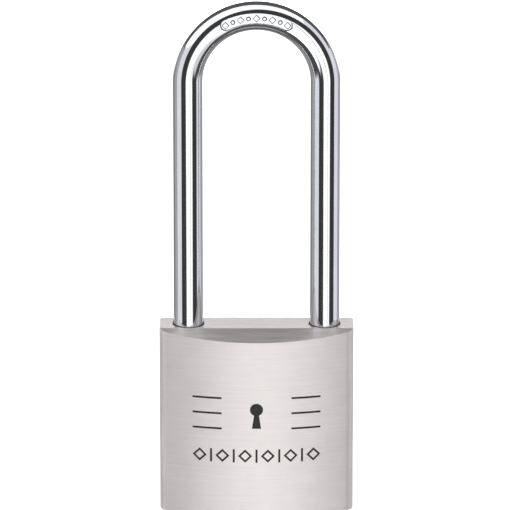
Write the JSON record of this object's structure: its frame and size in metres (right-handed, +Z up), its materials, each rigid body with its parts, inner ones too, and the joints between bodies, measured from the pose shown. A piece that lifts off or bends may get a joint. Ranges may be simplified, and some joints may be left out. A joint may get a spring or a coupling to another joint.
{
  "type": "padlock",
  "caption": "Padlock with a bowed solid metal body, a long polished shackle that lifts, a turning pin-tumbler cylinder, and balls that lock both legs.",
  "frame": {"origin": "middle of the face the padlock stands on, under the body", "axes": "+Z up along the shackle's legs, front towards -Y, +X towards the toe leg"},
  "size_m": [0.04, 0.017, 0.1083],
  "materials": {
    "aluminium_body": "brushed along its width",
    "chrome_shackle": "polished chrome plate on steel",
    "brass": "machined",
    "hard_steel": "polished, hardened",
    "spring_steel": "drawn wire and strip",
    "zinc_cam": "cast, satin",
    "nickel_silver": "turned",
    "dark_steel": "blackened"
  },
  "bodies": {
    "case": {"body": "aluminium_body", "cylinder_shell": "brass", "spring_cover": "brass", "cylinder_screw": "dark_steel", "cross_bore_plug": "aluminium_body", "shackle_spring": "spring_steel", "pin_spring_1": "spring_steel", "pin_spring_2": "spring_steel", "pin_spring_3": "spring_steel", "pin_spring_4": "spring_steel", "pin_spring_5": "spring_steel"},
    "shackle_bow": {"shackle": "chrome_shackle"},
    "plug_group": {"plug": "brass", "plug_clip": "spring_steel", "cam": "zinc_cam"},
    "toe_ball": {"latch_ball_toe": "hard_steel"},
    "heel_ball": {"latch_ball_heel": "hard_steel"},
    "driver_1": {"driver_pin_1": "nickel_silver"},
    "key_pin_body_1": {"key_pin_1": "brass"},
    "driver_2": {"driver_pin_2": "nickel_silver"},
    "key_pin_body_2": {"key_pin_2": "brass"},
    "driver_3": {"driver_pin_3": "nickel_silver"},
    "key_pin_body_3": {"key_pin_3": "brass"},
    "driver_4": {"driver_pin_4": "nickel_silver"},
    "key_pin_body_4": {"key_pin_4": "brass"},
    "driver_5": {"driver_pin_5": "nickel_silver"},
    "key_pin_body_5": {"key_pin_5": "brass"}
  },
  "joints": [
    {"name": "shackle_lift", "type": "slide", "parent": "case", "child": "shackle_bow", "axis": [0, 0, 1], "range_m": [0, 0.016], "deforming": ["shackle_spring"]},
    {"name": "plug_turn", "type": "hinge", "parent": "case", "child": "plug_group", "pos_m": [0, 0, 0.01], "axis": [0, 0, 1], "range_deg": [-90, 0]},
    {"name": "toe_ball_slide", "type": "slide", "parent": "case", "child": "toe_ball", "axis": [1, 0, 0], "range_m": [0, 0.00145]},
    {"name": "heel_ball_slide", "type": "slide", "parent": "case", "child": "heel_ball", "axis": [-1, 0, 0], "range_m": [0, 0.00065]},
    {"name": "driver_pin_slide_1", "type": "slide", "parent": "case", "child": "driver_1", "axis": [1, 0, 0], "range_m": [0, 0.002], "deforming": ["pin_spring_1"]},
    {"name": "key_pin_slide_1", "type": "slide", "parent": "plug_group", "child": "key_pin_body_1", "axis": [0, -1, 0], "range_m": [0, 0.0008]},
    {"name": "driver_pin_slide_2", "type": "slide", "parent": "case", "child": "driver_2", "axis": [1, 0, 0], "range_m": [0, 0.002], "deforming": ["pin_spring_2"]},
    {"name": "key_pin_slide_2", "type": "slide", "parent": "plug_group", "child": "key_pin_body_2", "axis": [0, -1, 0], "range_m": [0, 0.0008]},
    {"name": "driver_pin_slide_3", "type": "slide", "parent": "case", "child": "driver_3", "axis": [1, 0, 0], "range_m": [0, 0.002], "deforming": ["pin_spring_3"]},
    {"name": "key_pin_slide_3", "type": "slide", "parent": "plug_group", "child": "key_pin_body_3", "axis": [0, -1, 0], "range_m": [0, 0.0008]},
    {"name": "driver_pin_slide_4", "type": "slide", "parent": "case", "child": "driver_4", "axis": [1, 0, 0], "range_m": [0, 0.002], "deforming": ["pin_spring_4"]},
    {"name": "key_pin_slide_4", "type": "slide", "parent": "plug_group", "child": "key_pin_body_4", "axis": [0, -1, 0], "range_m": [0, 0.0008]},
    {"name": "driver_pin_slide_5", "type": "slide", "parent": "case", "child": "driver_5", "axis": [1, 0, 0], "range_m": [0, 0.002], "deforming": ["pin_spring_5"]},
    {"name": "key_pin_slide_5", "type": "slide", "parent": "plug_group", "child": "key_pin_body_5", "axis": [0, -1, 0], "range_m": [0, 0.0008]}
  ],
  "couplings": [
    {"joint": "toe_ball_slide", "follows": "plug_turn", "m_per_rad": -0.0009231},
    {"joint": "heel_ball_slide", "follows": "plug_turn", "m_per_rad": -0.0004138}
  ]
}
